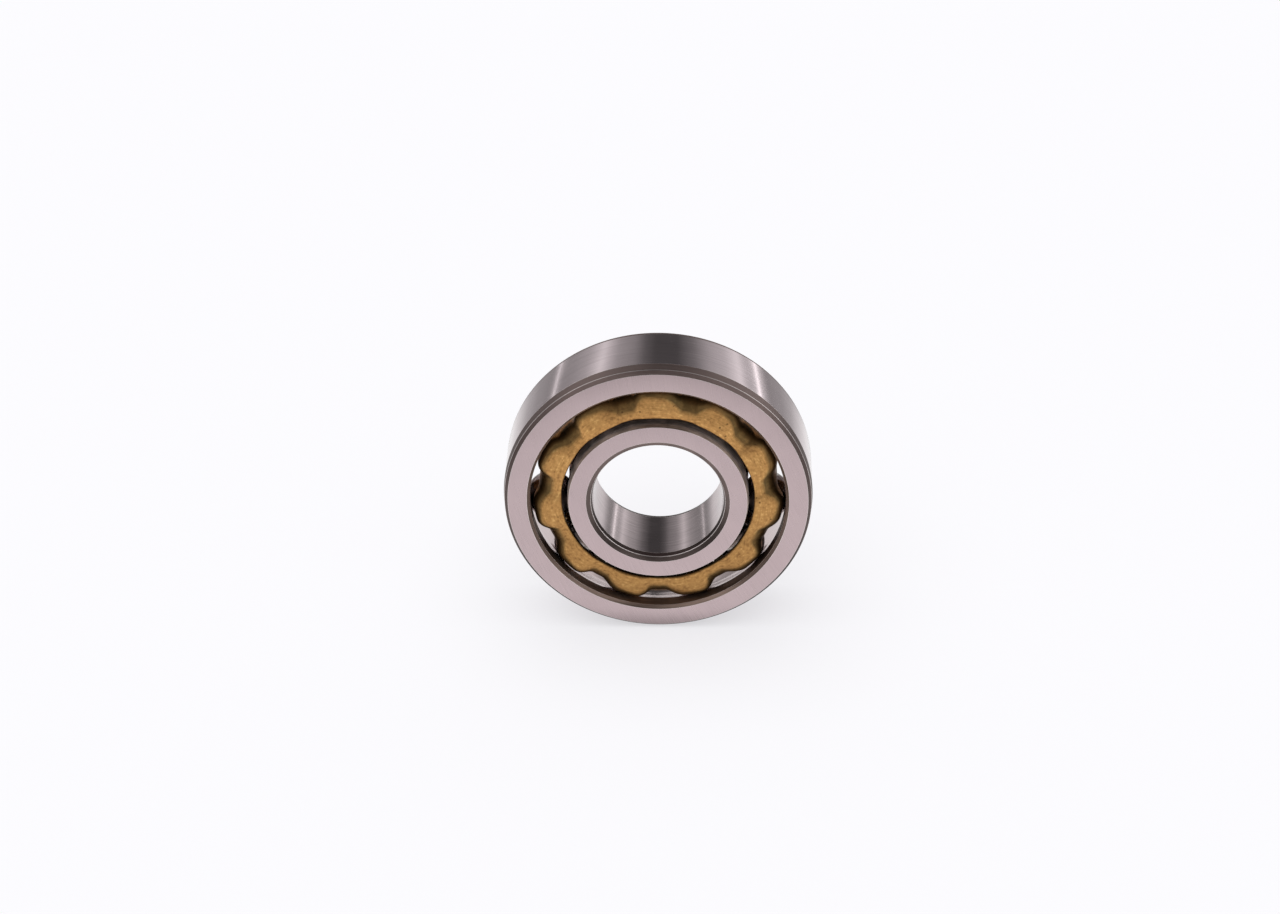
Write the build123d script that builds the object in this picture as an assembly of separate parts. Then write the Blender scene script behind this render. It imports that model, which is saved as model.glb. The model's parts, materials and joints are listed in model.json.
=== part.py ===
from build123d import *
import math
import os

# Magneto ball bearing, 17 x 40 x 10 mm: a separable, single-row ball bearing whose outer ring has a
# shoulder on the front side only. All lengths are in millimetres and angles in degrees.
# Frame: origin at the bearing's centre, axis along Y, shoulder (front) face at -Y, and the cage bar
# between ball_11 and ball_01 straight down at -Z. Depth means the distance behind the front face,
# measured along +Y.

# Boundary sizes
BORE_R = 8.5
OUTER_R = 20.0
WIDTH = 10.0

# Balls and their pitch circle
BALL_COUNT = 11
BALL_R = 3.175
PITCH_R = 14.25
RACE_GAP = 0.01
RACE_R = 1.04 * BALL_R

# Outer ring. Its front corner is two facets that meet at a ridge; the rear corner is rounded.
OUTER_FACE_R = 19.4
RIDGE_R = 19.85
RIDGE_DEPTH = 0.5
SEAT_START_DEPTH = 1.8
REAR_CORNER_AXIAL = 1.0
SHOULDER_R = 16.55
SHOULDER_CHAMFER = 0.4
SHOULDER_END_DEPTH = 2.0
RUNOUT_END_DEPTH = 3.4
REAR_CHAMFER = 0.4

# Inner ring
LAND_R = 11.75
LAND_CHAMFER = 0.2
BORE_CORNER_RADIAL = 0.8
BORE_CORNER_AXIAL = 0.9

# Cage: a pressed brass drum. Its flat front flange spreads into a rounded hood in front of each ball,
# and between the hoods it bends back into bars that run to the flange at the rear. A gap between
# hoods has one steep side and one gentle side, each given as (distance from the bar's middle,
# corner radius).
SHEET = 0.7
CAGE_FRONT_DEPTH = 0.8
CAGE_REAR_DEPTH = 9.1
FLANGE_INNER_R = 12.45
HOOD_R = 16.3
HOOD_BEND_R = 1.0
HOOD_REAR_DEPTH = 3.0
STEEP_SIDE = (1.2, 2.1)
GENTLE_SIDE = (0.8, 2.8)
BAR_R = 15.5
BAR_BEND_R = 2.4
REAR_BEND_R = 1.6
POCKET_R = BALL_R + 0.11
WINDOW_WIDTH = 6.4
WINDOW_FRONT_DEPTH = 2.9
WINDOW_REAR_DEPTH = 8.2
WINDOW_CORNER_R = 1.6

FRONT_Y = -WIDTH / 2
BALL_STEP = 360 / BALL_COUNT


def at_depth(radius, depth):
    """A point of a ring's half section: radius along +X, depth along +Y from the front face."""
    return (radius, FRONT_Y + depth)


def revolved(edges):
    """A full turn about the Y axis of the half section that the edges close."""
    return revolve(make_face(edges), Axis.Y)


def chain(*points):
    """The straight edges from each point to the next."""
    return [Line(start, end) for start, end in zip(points, points[1:])]


def race_edge(bottom_r, depth_from, depth_to, outward):
    """A raceway arc through its bottom, between two depths; outward grooves face the axis."""
    side = 1 if outward else -1
    centre_r = bottom_r - side * RACE_R

    def on_race(depth):
        reach = math.sqrt(RACE_R**2 - (depth - WIDTH / 2) ** 2)
        return at_depth(centre_r + side * reach, depth)

    middle = on_race((depth_from + depth_to) / 2)
    return ThreePointArc(on_race(depth_from), middle, on_race(depth_to))


def corner_edge(seat_point, face_point):
    """A rounded corner that leaves the cylindrical seat smoothly and ends on the side face."""
    toward_face = math.copysign(1, face_point[1])
    return TangentArc(seat_point, face_point, tangent=(0, toward_face))


def make_outer_ring():
    race_bottom = PITCH_R + BALL_R + RACE_GAP
    front_inner = at_depth(SHOULDER_R + SHOULDER_CHAMFER, 0)
    front_outer = at_depth(OUTER_FACE_R, 0)
    ridge = at_depth(RIDGE_R, RIDGE_DEPTH)
    seat_front = at_depth(OUTER_R, SEAT_START_DEPTH)
    seat_rear = at_depth(OUTER_R, WIDTH - REAR_CORNER_AXIAL)
    rear_outer = at_depth(OUTER_FACE_R, WIDTH)
    rear_inner = at_depth(race_bottom + REAR_CHAMFER, WIDTH)
    bore_rear = at_depth(race_bottom, WIDTH - REAR_CHAMFER)
    race = race_edge(race_bottom, RUNOUT_END_DEPTH, WIDTH / 2, outward=True)
    shoulder_front = at_depth(SHOULDER_R, SHOULDER_CHAMFER)
    shoulder_rear = at_depth(SHOULDER_R, SHOULDER_END_DEPTH)
    edges = [
        *chain(front_inner, front_outer, ridge, seat_front, seat_rear),
        corner_edge(seat_rear, rear_outer),
        *chain(rear_outer, rear_inner, bore_rear, race @ 1),
        race,
        *chain(race @ 0, shoulder_rear, shoulder_front, front_inner),
    ]
    return revolved(edges)


def make_inner_ring():
    race_bottom = PITCH_R - BALL_R - RACE_GAP
    groove_rise = race_bottom + RACE_R - LAND_R
    groove_half = math.sqrt(RACE_R**2 - groove_rise**2)
    race = race_edge(race_bottom, WIDTH / 2 - groove_half, WIDTH / 2 + groove_half, outward=False)
    bore_front = at_depth(BORE_R, BORE_CORNER_AXIAL)
    bore_rear = at_depth(BORE_R, WIDTH - BORE_CORNER_AXIAL)
    front_inner = at_depth(BORE_R + BORE_CORNER_RADIAL, 0)
    rear_inner = at_depth(BORE_R + BORE_CORNER_RADIAL, WIDTH)
    front_outer = at_depth(LAND_R - LAND_CHAMFER, 0)
    rear_outer = at_depth(LAND_R - LAND_CHAMFER, WIDTH)
    land_front = at_depth(LAND_R, LAND_CHAMFER)
    land_rear = at_depth(LAND_R, WIDTH - LAND_CHAMFER)
    edges = [
        Line(bore_rear, bore_front),
        corner_edge(bore_front, front_inner),
        *chain(front_inner, front_outer, land_front, race @ 0),
        race,
        *chain(race @ 1, land_rear, rear_outer, rear_inner),
        corner_edge(bore_rear, rear_inner),
    ]
    return revolved(edges)


def bend_points(wall_r, bend_r, face_depth, inward):
    """A quarter bend from a flat face to the wall, as its start, middle and end points.

    inward is 1 for a front face and -1 for a rear face.
    """
    lean = bend_r * math.sqrt(0.5)
    start = at_depth(wall_r - bend_r, face_depth)
    middle = at_depth(wall_r - bend_r + lean, face_depth + inward * (bend_r - lean))
    end = at_depth(wall_r, face_depth + inward * bend_r)
    return start, middle, end


def cup(wall_r, bend_r, front_depth, rear_depth):
    """A filled cup: flat front, a quarter bend, and a wall back to the rear."""
    start, middle, end = bend_points(wall_r, bend_r, front_depth, 1)
    edges = [
        *chain(at_depth(0, rear_depth), at_depth(0, front_depth), start),
        ThreePointArc(start, middle, end),
        *chain(end, at_depth(wall_r, rear_depth), at_depth(0, rear_depth)),
    ]
    return revolved(edges)


def drum(wall_r, front_bend_r, rear_bend_r, front_depth, rear_depth):
    """A filled drum: flat front and rear faces, each joined to the wall by a quarter bend."""
    start, middle, end = bend_points(wall_r, front_bend_r, front_depth, 1)
    rear_start, rear_middle, rear_end = bend_points(wall_r, rear_bend_r, rear_depth, -1)
    edges = [
        *chain(at_depth(0, rear_depth), at_depth(0, front_depth), start),
        ThreePointArc(start, middle, end),
        Line(end, rear_end),
        ThreePointArc(rear_end, rear_middle, rear_start),
        Line(rear_start, at_depth(0, rear_depth)),
    ]
    return revolved(edges)


def hood_side(direction, bar_distance, corner_r, inset):
    """One side of the gap between two hoods, as points of its plan: root, corner arc and outside."""
    half_width = bar_distance + inset
    arc_r = corner_r - inset
    wall_r = HOOD_R - inset
    centre_x = half_width + arc_r
    centre_z = math.sqrt((wall_r - arc_r) ** 2 - centre_x**2)
    reach = wall_r / (wall_r - arc_r)
    lean = arc_r * math.sqrt(0.5)
    root = (half_width, FLANGE_INNER_R - 1)
    start = (half_width, centre_z)
    middle = (centre_x - lean, centre_z + lean)
    touch = (centre_x * reach, centre_z * reach)
    outside = (touch[0] * 1.1, touch[1] * 1.1)
    return [(direction * x, z) for x, z in (root, start, middle, touch, outside)]


def gap_prism(inset):
    """The plan shape of the gap between two rounded hoods, run through the cage along Y.

    inset moves it into the hoods by that much, which gives the sheet's inner side.
    """
    root, start, middle, touch, outside = hood_side(1, *STEEP_SIDE, inset)
    far_root, far_start, far_middle, far_touch, far_outside = hood_side(-1, *GENTLE_SIDE, inset)
    outline = [
        *chain(far_root, root, start),
        ThreePointArc(start, middle, touch),
        *chain(touch, outside, far_outside, far_touch),
        ThreePointArc(far_touch, far_middle, far_start),
        Line(far_start, far_root),
    ]
    return extrude(Plane.XZ * make_face(outline), amount=WIDTH, both=True)


def cage_form(inset):
    """The cage's outer shape, filled: a drum as wide as the bars, with a hood for each ball."""
    front_depth = CAGE_FRONT_DEPTH + inset
    rear_depth = CAGE_REAR_DEPTH - inset
    barrel = drum(BAR_R - inset, BAR_BEND_R - inset, REAR_BEND_R - inset, front_depth, rear_depth)
    hoods = cup(HOOD_R - inset, HOOD_BEND_R - inset, front_depth, HOOD_REAR_DEPTH)
    gap = gap_prism(inset)
    for index in range(BALL_COUNT):
        hoods -= Rot(0, bar_angle(index), 0) * gap
    return barrel + hoods


def pocket():
    """The room for a ball at +Z: a hollow that fits it, and a rounded window out through the wall."""
    length = WINDOW_REAR_DEPTH - WINDOW_FRONT_DEPTH
    middle_depth = (WINDOW_REAR_DEPTH + WINDOW_FRONT_DEPTH) / 2
    outline = RectangleRounded(WINDOW_WIDTH, length, WINDOW_CORNER_R)
    window = Pos(0, FRONT_Y + middle_depth, PITCH_R) * extrude(outline, amount=BALL_R * 2)
    return window + Pos(0, 0, PITCH_R) * Sphere(POCKET_R)


def bar_angle(index):
    """Turn about Y that carries +Z to a cage bar, starting from straight down."""
    return 180 + index * BALL_STEP


def ball_angle(index):
    """Turn about Y that carries +Z to a ball, halfway from its bar to the next."""
    return bar_angle(index) + BALL_STEP / 2


def ball_centre(index):
    turn = math.radians(ball_angle(index))
    return (PITCH_R * math.sin(turn), 0, PITCH_R * math.cos(turn))


def make_cage():
    axis_along_y = Rot(90, 0, 0)
    cage = cage_form(0) - cage_form(SHEET)
    cage -= axis_along_y * Cylinder(FLANGE_INNER_R, 3 * WIDTH)
    for index in range(BALL_COUNT):
        cage -= Rot(0, ball_angle(index), 0) * pocket()
    return cage


def make_ball(index):
    return Pos(*ball_centre(index)) * Sphere(BALL_R)


def make_nodes():
    nodes = {
        "outer_ring": make_outer_ring(),
        "inner_ring": make_inner_ring(),
        "cage": make_cage(),
    }
    for index in range(BALL_COUNT):
        nodes[f"ball_{index + 1:02d}"] = make_ball(index)
    return nodes


os.makedirs("parts", exist_ok=True)
for name, shape in make_nodes().items():
    export_step(shape, f"parts/{name}.step")
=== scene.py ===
import json
import math

import bpy
import numpy as np
from mathutils import Matrix, Vector


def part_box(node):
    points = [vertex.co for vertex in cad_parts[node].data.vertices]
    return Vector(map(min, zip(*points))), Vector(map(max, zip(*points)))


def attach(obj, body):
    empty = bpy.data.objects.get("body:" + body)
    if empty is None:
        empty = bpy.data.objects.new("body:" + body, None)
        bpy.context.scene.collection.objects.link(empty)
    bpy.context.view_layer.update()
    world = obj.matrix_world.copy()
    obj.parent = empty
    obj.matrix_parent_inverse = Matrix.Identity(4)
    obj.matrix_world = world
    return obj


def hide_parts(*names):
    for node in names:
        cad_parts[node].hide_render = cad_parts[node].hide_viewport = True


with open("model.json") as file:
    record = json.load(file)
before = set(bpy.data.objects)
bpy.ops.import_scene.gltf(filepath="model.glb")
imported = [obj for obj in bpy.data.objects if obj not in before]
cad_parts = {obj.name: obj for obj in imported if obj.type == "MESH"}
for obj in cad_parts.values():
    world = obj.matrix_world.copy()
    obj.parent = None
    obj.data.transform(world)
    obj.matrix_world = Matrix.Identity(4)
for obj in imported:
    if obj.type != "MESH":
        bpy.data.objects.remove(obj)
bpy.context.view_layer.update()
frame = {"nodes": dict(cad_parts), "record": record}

# ---------------------------------------------------------------------------------------------
# Magneto ball bearing: two steel rings, a pressed brass cage and eleven balls.
# Sizes are in metres. Depth means the distance behind the front face, along +Y. Turn is the
# angle about the Y axis that carries +Z towards +X.
# ---------------------------------------------------------------------------------------------
MM = 0.001

ring_low, ring_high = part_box("outer_ring")
inner_low, inner_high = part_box("inner_ring")
cage_low, cage_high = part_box("cage")
ball_low, ball_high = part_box("ball_01")
ball_middle = (ball_low + ball_high) / 2
mounts = {mount["name"]: mount for mount in frame["record"]["mounts"]}

OUTER_R = ring_high.x
WIDTH = ring_high.y - ring_low.y
FRONT_Y = ring_low.y
BORE_R = mounts["bore"]["dims"]["r_mm"] * MM
LAND_R = inner_high.x
BALL_R = (ball_high.z - ball_low.z) / 2
PITCH_R = math.hypot(ball_middle.x, ball_middle.z)
BALL_COUNT = sum(1 for node in frame["nodes"] if node.startswith("ball_"))
SECTOR = 2 * math.pi / BALL_COUNT
FIRST_BAR_TURN = math.atan2(ball_middle.x, ball_middle.z) - SECTOR / 2
RACE_GAP = 0.01 * MM
RACE_R = 1.04 * BALL_R

# Mesh fineness
RING_SEGMENTS = 384
ARC_STEPS = 8
FILLET_STEP = math.radians(10)


# ---------------------------------------------------------------------------------------------
# Mesh helpers
# ---------------------------------------------------------------------------------------------
def make_object(name, verts, faces, looks, zones, body, slot, replaced, sharp_angle):
    """A smooth mesh piece on a body; zones gives each face's place in the list of looks."""
    mesh = bpy.data.meshes.new(name)
    mesh.from_pydata(verts, [], faces)
    mesh.update()
    for look in looks:
        mesh.materials.append(look)
    mesh.polygons.foreach_set("material_index", zones)
    mesh.shade_smooth()
    mesh.set_sharp_from_angle(angle=math.radians(sharp_angle))
    piece = bpy.data.objects.new(name, mesh)
    bpy.context.scene.collection.objects.link(piece)
    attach(piece, body)
    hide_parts(replaced)
    return piece


def fillet_points(before, here, after, fillet, zone):
    """The arc that rounds the corner at a point; it is zone "edge", and zone follows it."""
    back = (before - here).normalized()
    ahead = (after - here).normalized()
    half_turn = (math.pi - back.angle(ahead)) / 2
    reach = fillet * math.tan(half_turn)
    centre = here + (back + ahead).normalized() * (fillet / math.cos(half_turn))
    start = here + back * reach - centre
    end = here + ahead * reach - centre
    sweep = start.angle_signed(end)
    steps = max(3, round(abs(sweep) / FILLET_STEP))
    points = []
    for step in range(steps + 1):
        place = centre + Matrix.Rotation(-sweep * step / steps, 2) @ start
        points.append((place, zone if step == steps else "edge"))
    return points


def rounded(points):
    """The closed outline through (radius, depth, fillet radius, zone) points.

    zone names the surface from the point to the next one.
    """
    outline = []
    for index, (r, d, fillet, zone) in enumerate(points):
        here = Vector((r, d))
        if fillet == 0:
            outline.append((here, zone))
            continue
        before = Vector(points[index - 1][:2])
        after = Vector(points[(index + 1) % len(points)][:2])
        outline.extend(fillet_points(before, here, after, fillet, zone))
    return outline


def arc_between(centre, radius, start_angle, end_angle, steps, zone, last_zone=None):
    """Outline points on an arc, angles in radians from +radius towards +depth.

    last_zone names the surface that follows the arc's last point, if it isn't zone.
    """
    points = []
    for step, angle in enumerate(np.linspace(start_angle, end_angle, steps + 1)):
        r = centre[0] + radius * math.cos(angle)
        d = centre[1] + radius * math.sin(angle)
        ends = last_zone and step == steps
        points.append((r, d, 0, last_zone if ends else zone))
    return points


def lathe(outline, looks):
    """A closed outline turned about the Y axis: vertices, quads, looks and each quad's look."""
    turns = np.linspace(0, 2 * math.pi, RING_SEGMENTS, endpoint=False)
    radius = np.array([place[0] for place, zone in outline])
    depth = np.array([place[1] for place, zone in outline])
    ids = [ZONES.index(zone) for place, zone in outline]
    count = len(outline)
    x = np.outer(np.sin(turns), radius)
    z = np.outer(np.cos(turns), radius)
    y = np.tile(FRONT_Y + depth, (RING_SEGMENTS, 1))
    verts = np.stack([x, y, z], axis=2).reshape(-1, 3)
    faces = []
    for turn in range(RING_SEGMENTS):
        near = turn * count
        far = ((turn + 1) % RING_SEGMENTS) * count
        for index in range(count):
            after = (index + 1) % count
            faces.append((near + index, near + after, far + after, far + index))
    return verts.tolist(), faces, looks, ids * RING_SEGMENTS


# ---------------------------------------------------------------------------------------------
# Rings. Each is a half section whose surfaces are in zones, and each zone has its own look.
# ---------------------------------------------------------------------------------------------
ZONES = ["face", "seat", "corner", "shoulder", "land", "bore", "bore_corner", "race", "edge"]

# Radii of the fillets that break the edges
EDGE_BREAK = 0.05 * MM
SHOULDER_BREAK = 0.1 * MM
RIDGE_BREAK = 0.12 * MM
SEAT_BREAK = 0.36 * MM

# Outer ring: the front corner is two facets that meet at a ridge, the rear corner is rounded
OUTER_FACE_R = 19.4 * MM
RIDGE_R = 19.85 * MM
RIDGE_DEPTH = 0.5 * MM
SEAT_START = 1.8 * MM
REAR_CORNER = 1.0 * MM
SHOULDER_R = 16.55 * MM
SHOULDER_CHAMFER = 0.4 * MM
SHOULDER_END = 2.0 * MM
RUNOUT_END = 3.4 * MM
REAR_CHAMFER = 0.4 * MM

# Inner ring: a bore corner is two facets, as (inset from the bore, depth) from bore to face
BORE_CORNER = [(0.0, 0.9 * MM), (0.18 * MM, 0.3 * MM), (0.8 * MM, 0.0)]
LAND_CHAMFER = 0.2 * MM
LAND_TAPER = 0.8 * MM


def outer_ring_outline():
    race_bottom = PITCH_R + BALL_R + RACE_GAP
    race_centre = (race_bottom - RACE_R, WIDTH / 2)
    runout_angle = math.asin((RUNOUT_END - WIDTH / 2) / RACE_R)
    corner_width = OUTER_R - OUTER_FACE_R
    rear_r = (REAR_CORNER**2 + corner_width**2) / (2 * corner_width)
    rear_centre = (OUTER_R - rear_r, WIDTH - REAR_CORNER)
    rear_sweep = math.asin(REAR_CORNER / rear_r)
    points = [
        (SHOULDER_R, SHOULDER_END, SHOULDER_BREAK, "shoulder"),
        (SHOULDER_R, SHOULDER_CHAMFER, EDGE_BREAK, "shoulder"),
        (SHOULDER_R + SHOULDER_CHAMFER, 0, EDGE_BREAK, "face"),
        (OUTER_FACE_R, 0, EDGE_BREAK, "corner"),
        (RIDGE_R, RIDGE_DEPTH, RIDGE_BREAK, "corner"),
        (OUTER_R, SEAT_START, SEAT_BREAK, "seat"),
        *arc_between(rear_centre, rear_r, 0, rear_sweep, ARC_STEPS, "corner", "face"),
        (race_bottom + REAR_CHAMFER, WIDTH, EDGE_BREAK, "corner"),
        (race_bottom, WIDTH - REAR_CHAMFER, EDGE_BREAK, "race"),
        *arc_between(race_centre, RACE_R, 0, runout_angle, ARC_STEPS, "race"),
    ]
    return rounded(points)


def bore_corner(front):
    """The two facets of a bore corner, from the bore to the side face."""
    points = []
    for inset, depth in BORE_CORNER:
        points.append((BORE_R + inset, depth if front else WIDTH - depth, RIDGE_BREAK, "bore_corner"))
    return points


def inner_ring_outline():
    race_bottom = PITCH_R - BALL_R - RACE_GAP
    race_centre = (race_bottom + RACE_R, WIDTH / 2)
    half_angle = math.acos((race_centre[0] - LAND_R) / RACE_R)
    from_angle = math.pi + half_angle
    to_angle = math.pi - half_angle
    race = arc_between(race_centre, RACE_R, from_angle, to_angle, 2 * ARC_STEPS, "race", "land")
    front = bore_corner(True)
    front[-1] = (*front[-1][:2], EDGE_BREAK, "face")
    rear = bore_corner(False)[::-1]
    rear[-1] = (*rear[-1][:3], "bore")
    points = [
        *front,
        (LAND_R - LAND_CHAMFER, 0, EDGE_BREAK, "land"),
        (LAND_R, LAND_TAPER, LAND_TAPER / 2, "land"),
        *race,
        (LAND_R, WIDTH - LAND_CHAMFER, EDGE_BREAK, "edge"),
        (LAND_R - LAND_CHAMFER, WIDTH, EDGE_BREAK, "face"),
        *rear,
    ]
    return rounded(points)


# ---------------------------------------------------------------------------------------------
# Cage: the skin of a distance field, sampled on a grid round the axis (naive surface nets)
# ---------------------------------------------------------------------------------------------
SHEET = 0.7 * MM
CAGE_FRONT = cage_low.y - FRONT_Y
CAGE_REAR = cage_high.y - FRONT_Y
FLANGE_R = 12.45 * MM

# Hoods: each side is (distance from the bar's middle, corner radius in plan), and its rim is
# dished back over the width of its dish
HOOD_R = 16.3 * MM
HOOD_EDGE_R = 0.6 * MM
HOOD_REAR = 3.0 * MM
STEEP_SIDE = (1.2 * MM, 2.1 * MM)
GENTLE_SIDE = (0.8 * MM, 2.8 * MM)
STEEP_DISH = 1.35 * MM
GENTLE_DISH = 1.75 * MM
HOOD_DISH_R = 2.0 * MM

# Bars, and the bends that join them to the flanges
BAR_R = 15.5 * MM
BAR_BEND_R = 2.4 * MM
REAR_BEND_R = 1.6 * MM

# Ball pockets
POCKET_R = BALL_R + 0.11 * MM
WINDOW_HALF_WIDTH = 3.2 * MM
WINDOW_FRONT = 2.9 * MM
WINDOW_REAR = 8.2 * MM
WINDOW_CORNER_R = 1.6 * MM

# How far the fields blend: hoods into bars, pocket edges, and the flange's inner edge
ROOT_SOFT = 0.9 * MM
EDGE_SOFT = 0.09 * MM
LIP_SOFT = 0.18 * MM

# A face this near to a pocket is part of its cut edge
CUT_REACH = 0.05 * MM

# Grid spacing, along the radius and depth and round the pitch circle
CELL = 0.11 * MM


def smooth_max(a, b, soft):
    """The larger of two fields, rounded over where they cross."""
    mix = np.maximum(soft - np.abs(a - b), 0) / soft
    return np.maximum(a, b) + mix**2 * soft / 4


def round_max(a, b, radius):
    """The larger of two fields, with the corner where they meet rounded to a radius."""
    reach = np.hypot(np.maximum(a + radius, 0), np.maximum(b + radius, 0))
    return reach + np.minimum(np.maximum(a, b), -radius)


def box_distance(u, v, half_u, half_v, corner_r):
    """Signed distance to a rounded rectangle about the origin."""
    past_u = np.abs(u) - half_u + corner_r
    past_v = np.abs(v) - half_v + corner_r
    outside = np.hypot(np.maximum(past_u, 0), np.maximum(past_v, 0))
    return outside + np.minimum(np.maximum(past_u, past_v), 0) - corner_r


def hood_field(turn, r, depth):
    """Field of the hoods, with turn measured from the middle of a bar."""
    along = r * np.sin(turn)
    steep = round_max(STEEP_SIDE[0] - along, r - HOOD_R, STEEP_SIDE[1])
    gentle = round_max(GENTLE_SIDE[0] + along, r - HOOD_R, GENTLE_SIDE[1])
    plan = np.where(turn > 0, steep, gentle)
    gentleness = 0.5 - 0.5 * np.sin(2 * math.pi * turn / SECTOR)
    dish_width = STEEP_DISH + (GENTLE_DISH - STEEP_DISH) * gentleness
    dish = np.maximum(plan + dish_width, 0) ** 2 / (2 * HOOD_DISH_R)
    hood = round_max(plan, CAGE_FRONT - depth + dish, HOOD_EDGE_R)
    return round_max(hood, depth - HOOD_REAR, HOOD_EDGE_R)


def cage_skin(turn, r, depth):
    """Field of the cage's outer shape, filled: hoods that blend into a drum as wide as the bars."""
    drum = round_max(r - BAR_R, CAGE_FRONT - depth, BAR_BEND_R)
    drum = round_max(drum, depth - CAGE_REAR, REAR_BEND_R)
    return -smooth_max(-hood_field(turn, r, depth), -drum, ROOT_SOFT)


def pocket_field(turn, r, depth):
    """Field of a ball's pocket: a hollow round the ball, and a window out through the wall."""
    ball_turn = SECTOR / 2 - np.abs(turn)
    side = r * np.sin(ball_turn)
    up = r * np.cos(ball_turn)
    hollow = np.sqrt(side**2 + (up - PITCH_R) ** 2 + (depth - WIDTH / 2) ** 2) - POCKET_R
    middle = (WINDOW_FRONT + WINDOW_REAR) / 2
    half_length = (WINDOW_REAR - WINDOW_FRONT) / 2
    window = box_distance(side, depth - middle, WINDOW_HALF_WIDTH, half_length, WINDOW_CORNER_R)
    return np.minimum(hollow, np.maximum(window, PITCH_R - up))


def cage_field(turn, r, depth):
    """Field of the cage: a sheet inside its skin, less the room in its middle and the pockets.

    Where the skin's field is steeper than a distance it is scaled back, to keep the sheet even.
    """
    skin = cage_skin(turn, r, depth)
    slope_turn, slope_r, slope_depth = np.gradient(skin, turn[:, 0, 0], r[0, :, 0], depth[0, 0, :])
    slope = np.sqrt((slope_turn / r) ** 2 + slope_r**2 + slope_depth**2)
    skin = skin / np.maximum(slope, 1)
    sheet = np.abs(skin + SHEET / 2) - SHEET / 2
    sheet = smooth_max(sheet, FLANGE_R - r, LIP_SOFT)
    return smooth_max(sheet, -pocket_field(turn, r, depth), EDGE_SOFT)


def cell_corner(grid, corner):
    """The values at one corner of every cell, for a grid whose first row is repeated at its end."""
    size = np.array(grid.shape) - 1
    i, j, k = corner
    return grid[i : i + size[0], j : j + size[1], k : k + size[2]]


def net_vertices(grid):
    """The cells that the skin passes through, and the middle of its crossings in each."""
    inside = grid < 0
    shape = tuple(np.array(grid.shape) - 1)
    total = np.zeros((*shape, 3))
    count = np.zeros(shape)
    corners = [(i, j, k) for i in (0, 1) for j in (0, 1) for k in (0, 1)]
    for a in corners:
        for b in corners:
            step = np.subtract(b, a)
            if step.sum() != 1 or np.abs(step).sum() != 1:
                continue
            crossing = cell_corner(inside, a) != cell_corner(inside, b)
            at_a = cell_corner(grid, a)[crossing]
            at_b = cell_corner(grid, b)[crossing]
            share = (at_a / (at_a - at_b))[:, None]
            total[crossing] += np.array(a) + share * step
            count[crossing] += 1
    active = count > 0
    return active, np.argwhere(active) + total[active] / count[active][:, None]


def net_faces(inside, active):
    """A quad round every grid edge that the skin crosses, all facing out."""
    index = np.full(active.shape, -1)
    index[active] = np.arange(active.sum())
    around = len(active)
    once = inside[:-1]
    pairs = [(once, inside[1:]), (once[:, :-1], once[:, 1:]), (once[:, :, :-1], once[:, :, 1:])]
    faces = []
    for axis, (here, beyond) in enumerate(pairs):
        cells = np.argwhere(here != beyond)
        leaving = here[tuple(cells.T)]
        du, dv = [unit for n, unit in enumerate(np.eye(3, dtype=int)) if n != axis]
        ring = [cells - du - dv, cells - dv, cells, cells - du]
        quad = np.stack([index[cell[:, 0] % around, cell[:, 1], cell[:, 2]] for cell in ring], axis=1)
        flip = leaving if axis != 1 else ~leaving
        quad[flip] = quad[flip][:, ::-1]
        faces.append(quad)
    return np.concatenate(faces)


def surface_nets(field, coords):
    """The field's zero skin, as vertices in the grid's coordinates and quads; axis 0 is periodic."""
    grid = np.concatenate([field, field[:1]], axis=0)
    active, place = net_vertices(grid)
    places = [np.interp(place[:, n], np.arange(len(coords[n])), coords[n]) for n in range(3)]
    return (*places, net_faces(grid < 0, active))


def cage_mesh():
    """Vertices, quads and each quad's look: 0 for the sheet and 1 for the cut pocket edges."""
    sector_cells = round(SECTOR * PITCH_R / CELL)
    local = (np.arange(sector_cells) / sector_cells - 0.5) * SECTOR
    margin = 3 * CELL
    radii = np.arange(FLANGE_R - margin, HOOD_R + margin, CELL)
    depths = np.arange(CAGE_FRONT - margin, CAGE_REAR + margin, CELL)
    turn, r, depth = np.meshgrid(local, radii, depths, indexing="ij")
    field = np.tile(cage_field(turn, r, depth), (BALL_COUNT, 1, 1))
    steps = np.arange(sector_cells * BALL_COUNT + 1) / sector_cells - 0.5
    turns = FIRST_BAR_TURN + steps * SECTOR
    at_turn, at_r, at_depth, faces = surface_nets(field, (turns, radii, depths))
    x = at_r * np.sin(at_turn)
    z = at_r * np.cos(at_turn)
    verts = np.stack([x, FRONT_Y + at_depth, z], axis=1)
    in_sector = (at_turn - FIRST_BAR_TURN + SECTOR / 2) % SECTOR - SECTOR / 2
    on_cut = pocket_field(in_sector, at_r, at_depth) < CUT_REACH
    zones = on_cut[faces].all(axis=1).astype(int)
    return verts.tolist(), faces.tolist(), zones.tolist()


# ---------------------------------------------------------------------------------------------
# Materials. Colours are linear, and noise scales are in cells per metre.
# ---------------------------------------------------------------------------------------------
# Middle of the wheel whose arcs are left on the ground side faces
WHEEL_CENTRE = (0.09, 0.0, 0.03)

FACE_STEEL = (0.545, 0.434, 0.450)
LAND_STEEL = (0.56, 0.47, 0.435)
BALL_STEEL = (0.36, 0.32, 0.31)

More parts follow.
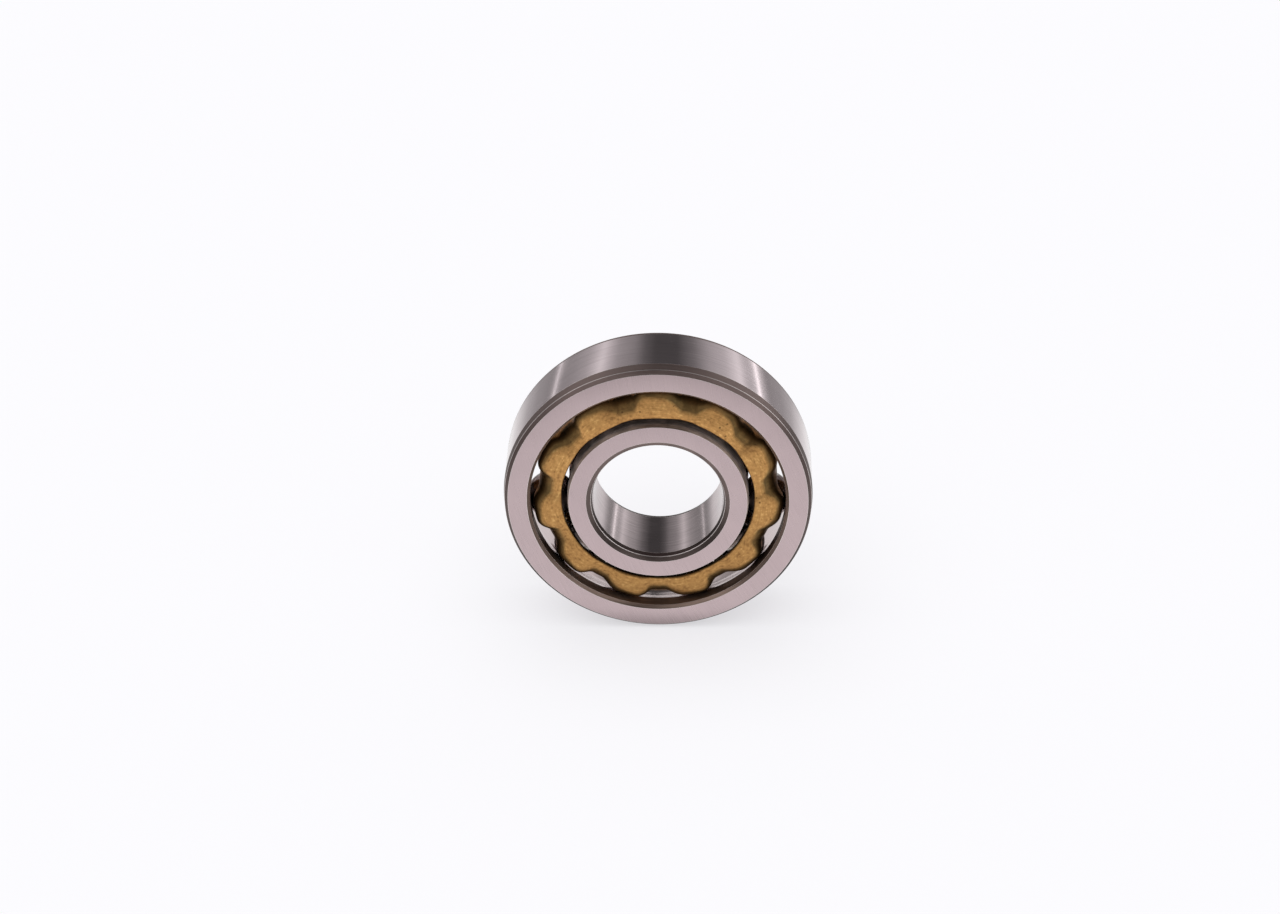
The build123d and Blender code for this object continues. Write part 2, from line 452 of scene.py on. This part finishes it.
# The other steels, as zone: (name, colour, roughness, contrast of the marks, anisotropy)
TURNED_STEELS = {
    "seat": ("ground_seat", (0.60, 0.51, 0.53), 0.11, 0.08, 0.3),
    "corner": ("turned_corner", (0.22, 0.165, 0.155), 0.48, 0.12, 0.4),
    "shoulder": ("turned_shoulder", (0.31, 0.225, 0.19), 0.42, 0.25, 0.5),
    "bore": ("ground_bore", (0.46, 0.39, 0.40), 0.13, 0.11, 0.4),
    "bore_corner": ("turned_bore_corner", (0.155, 0.12, 0.112), 0.42, 0.2, 0.4),
    "race": ("polished_race", (0.55, 0.46, 0.46), 0.14, 0.05, 0.3),
    "edge": ("worn_edge", (0.90, 0.82, 0.81), 0.38, 0.1, 0.3),
}

# Painted light and shade on the turned surfaces and the brass: each is lighter or darker with its
# height, as light or shade falls on it, as (height over the axis / OUTER_R, level)
PAINTED_LIGHT_BY_HEIGHT = {
    "corner": [(-1.0, 0.26), (-0.5, 0.36), (0.0, 0.58), (0.5, 0.70), (0.87, 1.2), (1.0, 1.5)],
    "shoulder": [(-0.83, 1.25), (-0.74, 1.2), (-0.64, 0.75), (-0.45, 0.52), (0.2, 0.5), (0.8, 0.8)],
    "bore_corner": [(-0.46, 0.85), (-0.42, 0.75), (-0.34, 0.42), (-0.18, 0.5), (0.0, 0.95),
                    (0.25, 1.2), (0.46, 1.7)],
}
# Painted light on the brass: lighter towards the top, darker towards the bottom
BRASS_PAINTED_LIGHT = [(-0.8, 0.86), (0.0, 1.06), (0.8, 1.26)]
PAINTED_LIGHT_PEAK = 2.0

# Brass from the darkest grain of the mottle to the brightest, as (position, colour)
BRASS_GRAIN = [
    (0.36, (0.32, 0.162, 0.058)), (0.46, (0.47, 0.250, 0.089)),
    (0.55, (0.54, 0.294, 0.104)), (0.66, (0.72, 0.435, 0.165)),
]
# Painted shade and olive tarnish that darken the brass in its bends, on its walls and at its lip
SHADE_AND_TARNISH = (0.092, 0.066, 0.028, 1)
PIT = (0.07, 0.04, 0.018, 1)
CUT_BRASS = (0.85, 0.66, 0.34)


class Graph:
    """A short way to add linked nodes to a node tree."""

    def __init__(self, tree):
        self.tree = tree

    def add(self, kind, inputs, output=0, **settings):
        node = self.tree.nodes.new("ShaderNode" + kind)
        for key, value in settings.items():
            setattr(node, key, value)
        for key, value in inputs.items():
            self.feed(node.inputs[key], value)
        return node.outputs[output]

    def feed(self, socket, value):
        if isinstance(value, bpy.types.NodeSocket):
            self.tree.links.new(value, socket)
        else:
            socket.default_value = value

    def math(self, operation, a, b):
        return self.add("Math", {0: a, 1: b}, operation=operation)

    def vector(self, operation, a, b=(0.0, 0.0, 0.0)):
        return self.add("VectorMath", {0: a, 1: b}, operation=operation)

    def distance(self, place, centre=(0.0, 0.0, 0.0)):
        return self.add("VectorMath", {0: place, 1: centre}, "Value", operation="DISTANCE")

    def scaled(self, color, factor):
        return self.add("VectorMath", {0: color, "Scale": factor}, operation="SCALE")

    def remap(self, value, low, high, to_low, to_high):
        sockets = {
            "Value": value, "From Min": low, "From Max": high, "To Min": to_low, "To Max": to_high,
        }
        return self.add("MapRange", sockets)

    def vary(self, noise, to_low, to_high):
        """A level that follows the noise over its usual range."""
        return self.remap(noise, 0.3, 0.7, to_low, to_high)

    def noise(self, vector, scale, detail=2.0):
        return self.add("TexNoise", {"Vector": vector, "Scale": scale, "Detail": detail})

    def place(self):
        return self.add("TexCoord", {}, "Object")

    def axis(self, name):
        return self.add("SeparateXYZ", {0: self.place()}, name)

    def level_place(self):
        """The place with its Y taken out, so that its length is the distance from the axis."""
        return self.vector("MULTIPLY", self.place(), (1, 0, 1))

    def ramp(self, factor, stops):
        color = self.add("ValToRGB", {"Fac": factor})
        elements = color.node.color_ramp.elements
        while len(elements) < len(stops):
            elements.new(0.5)
        for element, (position, value) in zip(elements, stops):
            element.position = position
            element.color = (*value, 1)
        return color

    def levels(self, factor, stops, peak):
        """A level that follows (position, level) stops, kept within 1 in the ramp itself."""
        grey = [(position, (level / peak,) * 3) for position, level in stops]
        return self.scaled(self.ramp(factor, grey), peak)

    def by_height(self, stops):
        """A level of painted light and shade that follows (height over the axis / OUTER_R, level) stops.
        """
        share = self.remap(self.axis("Z"), -OUTER_R, OUTER_R, 0.0, 1.0)
        return self.levels(share, [((height + 1) / 2, level) for height, level in stops], PAINTED_LIGHT_PEAK)

    def blend(self, factor, a, b):
        """Colour a where factor is 0 and colour b where it is 1."""
        mixed = self.add("Mix", {}, data_type="RGBA")
        node = mixed.node
        named = {socket.name: socket for socket in node.inputs if socket.enabled}
        self.feed(named["Factor"], factor)
        self.feed(named["A"], a)
        self.feed(named["B"], b)
        return next(socket for socket in node.outputs if socket.enabled)

    def ring_marks(self, width, length):
        """Noise in marks that run round the Y axis; length is in radians, width in metres.

        The marks step along Y and, more slowly, with the radius, from an arbitrary start.
        """
        around = self.vector("NORMALIZE", self.level_place())
        sockets = {0: self.distance(self.level_place()), 1: 0.37, 2: 0.5}
        across = self.math("DIVIDE", self.add("Math", sockets, operation="MULTIPLY_ADD"), width)
        across = self.math("ADD", across, self.math("DIVIDE", self.axis("Y"), width))
        lifted = self.add("CombineXYZ", {"Y": across})
        return self.noise(self.vector("ADD", self.scaled(around, 1 / length), lifted), 1.0)

    def arc_marks(self, width, length):
        """Noise in long shallow arcs, as a grinding wheel leaves them on a side face."""
        away = self.distance(self.place(), WHEEL_CENTRE)
        sockets = {
            "X": self.math("DIVIDE", away, width), "Y": self.math("DIVIDE", self.axis("Z"), length),
        }
        return self.noise(self.add("CombineXYZ", sockets), 1.0)


def new_look(name, **constants):
    """A Principled material with its unlinked sockets set, its graph and its shader."""
    material = bpy.data.materials.new(name)
    material.use_nodes = True
    shader = material.node_tree.nodes["Principled BSDF"]
    for socket, value in constants.items():
        shader.inputs[socket.replace("_", " ")].default_value = value
    return material, Graph(material.node_tree), shader


def add_bump(graph, shader, height, strength, distance):
    bump = graph.add("Bump", {"Strength": strength, "Distance": distance, "Height": height})
    graph.feed(shader.inputs["Normal"], bump)


def turn_anisotropy(graph, shader):
    """Stretch the highlights across marks that run round the Y axis."""
    tangent = graph.add("Tangent", {}, direction_type="RADIAL", axis="Y")
    graph.feed(shader.inputs["Tangent"], tangent)


def finish_steel(graph, shader, marks, color, roughness, contrast):
    """Colour, roughness and a fine bump that all follow the same machining marks."""
    blotches = graph.noise(graph.place(), 260.0, 3.0)
    tone = graph.vary(marks, 1 - contrast, 1 + contrast)
    patch = graph.vary(blotches, 1 - contrast / 2, 1 + contrast / 2)
    graph.feed(shader.inputs["Base Color"], graph.scaled(color, graph.math("MULTIPLY", tone, patch)))
    graph.feed(shader.inputs["Roughness"], graph.vary(marks, roughness * 0.85, roughness * 1.15))
    add_bump(graph, shader, marks, 0.15, 0.003 * MM)


def turned_steel(name, color, roughness, contrast, anisotropy, painted_light):
    """Steel cut or ground round its axis, rougher across the marks than along them."""
    material, graph, shader = new_look(
        name, Metallic=1.0, Anisotropic=anisotropy, Anisotropic_Rotation=0.25
    )
    # Painted light and shade: the colour is scaled up or down with height
    if painted_light:
        color = graph.scaled(color, graph.by_height(painted_light))
    finish_steel(graph, shader, graph.ring_marks(0.12 * MM, 0.35), color, roughness, contrast)
    turn_anisotropy(graph, shader)
    return material


def ground_face():
    """The side faces, ground in long shallow arcs."""
    material, graph, shader = new_look("ground_face", Metallic=1.0)
    finish_steel(graph, shader, graph.arc_marks(0.16 * MM, 4 * MM), FACE_STEEL, 0.3, 0.05)
    return material


def worn_land():
    """The dark turned lands, with lighter worn patches along them."""
    material, graph, shader = new_look(
        "worn_land", Metallic=1.0, Anisotropic=0.8, Anisotropic_Rotation=0.25
    )
    marks = graph.ring_marks(0.15 * MM, 0.2)
    wear = graph.remap(graph.noise(graph.place(), 420.0, 4.0), 0.35, 0.7, 0.8, 1.45)
    shade = graph.math("MULTIPLY", wear, graph.vary(marks, 0.75, 1.25))
    graph.feed(shader.inputs["Base Color"], graph.scaled(LAND_STEEL, shade))
    graph.feed(shader.inputs["Roughness"], graph.vary(marks, 0.36, 0.50))
    add_bump(graph, shader, marks, 0.3, 0.006 * MM)
    turn_anisotropy(graph, shader)
    return material


def ring_looks():
    """One look for each of the rings' zones, in order."""
    looks = {"face": ground_face(), "land": worn_land()}
    for zone, steel in TURNED_STEELS.items():
        looks[zone] = turned_steel(*steel, PAINTED_LIGHT_BY_HEIGHT.get(zone))
    return [looks[zone] for zone in ZONES]


def brass_shade_and_tarnish(graph, broad):
    """How dark the brass is from painted shade and olive tarnish: on its slopes and walls and at its lip,
    less in patches on the bars' outer face and towards the rear.
    """
    below = graph.math("SUBTRACT", graph.axis("Y"), FRONT_Y + CAGE_FRONT)
    radius = graph.distance(graph.level_place())
    # Painted shade, with some olive tarnish in the bends: darker on the slopes, on the walls and at the
    # lip
    slope = graph.remap(below, 0.008 * MM, 0.17 * MM, 0.0, 0.75)
    wall = graph.remap(below, 0.3 * MM, 1.5 * MM, 0.0, 0.14)
    lip = graph.remap(radius, FLANGE_R + 0.04 * MM, FLANGE_R + 0.22 * MM, 0.5, 0.0)
    # Lighter in patches on the bars' outer face behind the bends, where the painted shade is eased
    bar_lighter = graph.remap(radius, BAR_R - 0.10 * MM, BAR_R - 0.02 * MM, 0.0, 0.75)
    bar_lighter = graph.math("MULTIPLY", bar_lighter, graph.remap(broad, 0.40, 0.56, 0.0, 1.0))
    bar_lighter = graph.math("MULTIPLY", bar_lighter, graph.remap(below, 0.9 * MM, 1.3 * MM, 0.0, 1.0))
    # The painted shade and tarnish eased towards the rear
    rear_lighter = graph.remap(below, 5 * MM, 7.8 * MM, 0.0, 0.62)
    dark = graph.math("ADD", graph.math("ADD", slope, wall), lip)
    dark = graph.math("SUBTRACT", graph.math("SUBTRACT", dark, bar_lighter), rear_lighter)
    return graph.math("MULTIPLY", dark, graph.vary(broad, 0.8, 1.2))


def brass_pits(graph):
    """How far the brass is a small dark pit; pits are few, as only some cells have one."""
    pits = graph.add("TexVoronoi", {"Vector": graph.place(), "Scale": 900.0})
    chosen = graph.math("GREATER_THAN", graph.noise(graph.place(), 430.0, 0.0), 0.55)
    return graph.math("MULTIPLY", graph.remap(pits, 0.06, 0.16, 0.75, 0.0), chosen)


def brass():
    """Pressed brass sheet: finely mottled, rubbed round the axis, pitted, with painted shade and olive
    tarnish in the bends and painted light that makes it lighter towards the top.
    """
    material, graph, shader = new_look("pressed_brass", Metallic=1.0)
    mottle = graph.noise(graph.place(), 2600.0, 5.0)
    broad = graph.noise(graph.place(), 360.0, 2.0)
    rubbed = graph.ring_marks(0.09 * MM, 0.10)
    fine = graph.math("ADD", graph.math("MULTIPLY", mottle, 0.5), graph.math("MULTIPLY", rubbed, 0.3))
    tone = graph.math("ADD", fine, graph.math("MULTIPLY", broad, 0.2))
    # Painted light: the brass is lighter towards the top
    metal = graph.scaled(graph.ramp(tone, BRASS_GRAIN), graph.by_height(BRASS_PAINTED_LIGHT))
    # Painted shade with olive tarnish in the bends, on the walls and at the lip
    shaded_and_tarnished = graph.blend(brass_shade_and_tarnish(graph, broad), metal, SHADE_AND_TARNISH)
    graph.feed(shader.inputs["Base Color"], graph.blend(brass_pits(graph), shaded_and_tarnished, PIT))
    graph.feed(shader.inputs["Roughness"], graph.remap(tone, 0.35, 0.65, 0.50, 0.38))
    grain = graph.noise(graph.place(), 4200.0, 3.0)
    height = graph.math("ADD", graph.math("MULTIPLY", grain, 0.5), mottle)
    add_bump(graph, shader, height, 0.35, 0.012 * MM)
    return material


def cut_brass():
    """The bright sheared edge that the pocket punch leaves on the brass."""
    material, graph, shader = new_look("cut_brass", Metallic=1.0)
    finish_steel(graph, shader, graph.noise(graph.place(), 2200.0, 2.0), CUT_BRASS, 0.34, 0.2)
    return material


def polished_ball():
    """Hardened chrome steel, polished, with faint oil smudges."""
    material, graph, shader = new_look("polished_ball", Metallic=1.0)
    smudge = graph.noise(graph.place(), 500.0, 3.0)
    graph.feed(shader.inputs["Base Color"], graph.scaled(BALL_STEEL, graph.vary(smudge, 0.9, 1.1)))
    graph.feed(shader.inputs["Roughness"], graph.remap(smudge, 0.35, 0.75, 0.12, 0.24))
    return material


# ---------------------------------------------------------------------------------------------
# Studio
# ---------------------------------------------------------------------------------------------
# The camera's directions, and where the bearing's centre lies from it along right, up and back
CAMERA_RIGHT = Vector((0.9996, 0.0235, -0.0154))
CAMERA_UP = Vector((0.0, 0.5482, 0.8363))
CENTRE_IN_VIEW = Vector((2.42, -3.20, -364.4)) * MM
LENS_MM = 78.5
SENSOR_MM = 36
CLIP_NEAR = 0.01
CLIP_FAR = 20

# White paper. Its colour and the light that it gives off to the eye keep it nearly shadowless.
FLOOR_HALF = 2.0
PAPER = (0.36, 0.36, 0.365, 1)
PAPER_LIGHT = (0.60, 0.595, 0.612, 1)

# Paper brightness that the metal mirrors, as (distance from the bearing in metres, level)
PAPER_GLOW = [(0.0, 0.97), (0.060, 0.95), (0.080, 0.78), (0.115, 0.54), (0.194, 0.41), (0.6, 0.35)]
# Share of it that is left under the bearing, which shades the paper there
UNDER_GLOW = 0.3

# Glow round the bearing's axis that the metal mirrors, as (degrees from straight up, level)
ROOM_GLOW = [
    (-180, 0.9), (-130, 0.7), (-97, 0.34), (-90, 0.48), (-87.8, 0.60), (-87, 2.2), (-86.2, 0.55),
    (-80, 0.37), (-71.5, 0.39), (-58.7, 0.52), (-52, 0.72), (-45.9, 0.985), (-39, 0.66), (-33, 0.45),
    (-20, 0.32), (-11.7, 0.15), (-3.2, 0.087), (14, 0.09), (27, 0.23), (39.5, 0.51), (52.3, 0.66),
    (60, 0.92), (65, 1.12), (69, 0.80), (73.6, 0.645), (80.6, 0.80), (82.7, 3.0), (84.4, 0.83),
    (91, 0.45), (99, 0.38), (130, 0.7), (180, 0.9),
]
ROOM_PEAK = 3.0
# The room's light on dull surfaces, and the backdrop that the camera sees
ROOM_FILL = (0.5, 0.5, 0.51, 1)
BACKDROP = (0.935, 0.935, 0.955, 1)

# Sun: its strength, how wide it looks, and its tilt from straight down about X and Y
SUN_STRENGTH = 1.75
SUN_WIDTH = math.radians(80)
SUN_TILT = (math.radians(8), math.radians(-6), 0)


def make_camera():
    back = CAMERA_RIGHT.cross(CAMERA_UP).normalized()
    up = back.cross(CAMERA_RIGHT).normalized()
    data = bpy.data.cameras.new("camera")
    data.sensor_width = SENSOR_MM
    data.lens = LENS_MM
    data.clip_start = CLIP_NEAR
    data.clip_end = CLIP_FAR
    camera = bpy.data.objects.new("camera", data)
    turn = Matrix((CAMERA_RIGHT, up, back)).transposed()
    camera.matrix_world = Matrix.Translation(-(turn @ CENTRE_IN_VIEW)) @ turn.to_4x4()
    bpy.context.scene.collection.objects.link(camera)
    bpy.context.scene.camera = camera


def mirrored_paper(graph):
    """The paper's brightness in reflections: it fades with distance and is shaded underneath."""
    away = graph.distance(graph.place())
    reach = PAPER_GLOW[-1][0]
    stops = [(distance / reach, level) for distance, level in PAPER_GLOW]
    glow = graph.levels(graph.math("DIVIDE", away, reach), stops, 1.0)
    sides = graph.add("SeparateXYZ", {0: graph.vector("ABSOLUTE", graph.place())}).node
    beside = graph.remap(sides.outputs["X"], 0.4 * OUTER_R, 1.6 * OUTER_R, 0.0, 1.0)
    before = graph.remap(sides.outputs["Y"], 0.4 * WIDTH, 0.9 * WIDTH, 0.0, 1.0)
    clear = graph.math("MAXIMUM", beside, before)
    return graph.scaled(glow, graph.remap(clear, 0.0, 1.0, UNDER_GLOW, 1.0))


def make_floor():
    """White paper: bright and nearly shadowless to the eye, fading with distance in reflections."""
    corners = [(-FLOOR_HALF, -FLOOR_HALF), (FLOOR_HALF, -FLOOR_HALF),
               (FLOOR_HALF, FLOOR_HALF), (-FLOOR_HALF, FLOOR_HALF)]
    mesh = bpy.data.meshes.new("floor")
    mesh.from_pydata([(x, y, ring_low.z) for x, y in corners], [], [(0, 1, 2, 3)])
    material, graph, shader = new_look("floor_paper", Roughness=0.9, Specular_IOR_Level=0.0)
    shader.inputs["Base Color"].default_value = PAPER
    lit = graph.add("Emission", {"Color": PAPER_LIGHT, "Strength": 1.0})
    seen = graph.add("AddShader", {0: shader.outputs[0], 1: lit})
    glow = graph.add("Emission", {"Color": mirrored_paper(graph), "Strength": 1.0})
    in_mirror = graph.add("LightPath", {}, "Is Glossy Ray")
    mixed = graph.add("MixShader", {0: in_mirror, 1: seen, 2: glow})
    graph.feed(material.node_tree.nodes["Material Output"].inputs["Surface"], mixed)
    mesh.materials.append(material)
    floor = bpy.data.objects.new("floor", mesh)
    bpy.context.scene.collection.objects.link(floor)


def make_world():
    """A soft even room to the eye and to dull surfaces, and the room's glow to the metal."""
    world = bpy.data.worlds.new("studio")
    bpy.context.scene.world = world
    world.use_nodes = True
    graph = Graph(world.node_tree)
    toward = graph.add("SeparateXYZ", {0: graph.add("TexCoord", {}, "Generated")}).node
    turn = graph.math("ARCTAN2", toward.outputs["X"], toward.outputs["Z"])
    share = graph.remap(turn, -math.pi, math.pi, 0.0, 1.0)
    glow = graph.levels(share, [((degrees + 180) / 360, level) for degrees, level in ROOM_GLOW], ROOM_PEAK)
    path = graph.add("LightPath", {}).node
    around = graph.blend(path.outputs["Is Camera Ray"], ROOM_FILL, BACKDROP)
    color = graph.blend(path.outputs["Is Glossy Ray"], around, glow)
    graph.feed(world.node_tree.nodes["Background"].inputs["Color"], color)


def make_sun():
    """A wide soft light from above, kept out of the metal's reflections."""
    data = bpy.data.lights.new("soft_sun", "SUN")
    data.energy = SUN_STRENGTH
    data.angle = SUN_WIDTH
    sun = bpy.data.objects.new("soft_sun", data)
    sun.rotation_euler = SUN_TILT
    sun.visible_glossy = False
    bpy.context.scene.collection.objects.link(sun)


# ---------------------------------------------------------------------------------------------
# The bearing in its studio
# ---------------------------------------------------------------------------------------------
# Edges that turn by more than this many degrees stay hard
RING_SHARP = 25
CAGE_SHARP = 60


def make_bearing():
    looks = ring_looks()
    make_object("outer_ring_turned", *lathe(outer_ring_outline(), looks), "outer_ring",
                "ring_steel", "outer_ring", RING_SHARP)
    make_object("inner_ring_turned", *lathe(inner_ring_outline(), looks), "inner_ring",
                "ring_steel", "inner_ring", RING_SHARP)
    verts, faces, zones = cage_mesh()
    make_object("cage_pressed", verts, faces, [brass(), cut_brass()], zones, "cage",
                "cage_brass", "cage", CAGE_SHARP)
    ball_look = polished_ball()
    for name, node in frame["nodes"].items():
        if name.startswith("ball_"):
            for slot in node.material_slots:
                slot.material = ball_look


bpy.context.scene.view_settings.view_transform = "Standard"
make_camera()
make_bearing()
make_floor()
make_world()
make_sun()
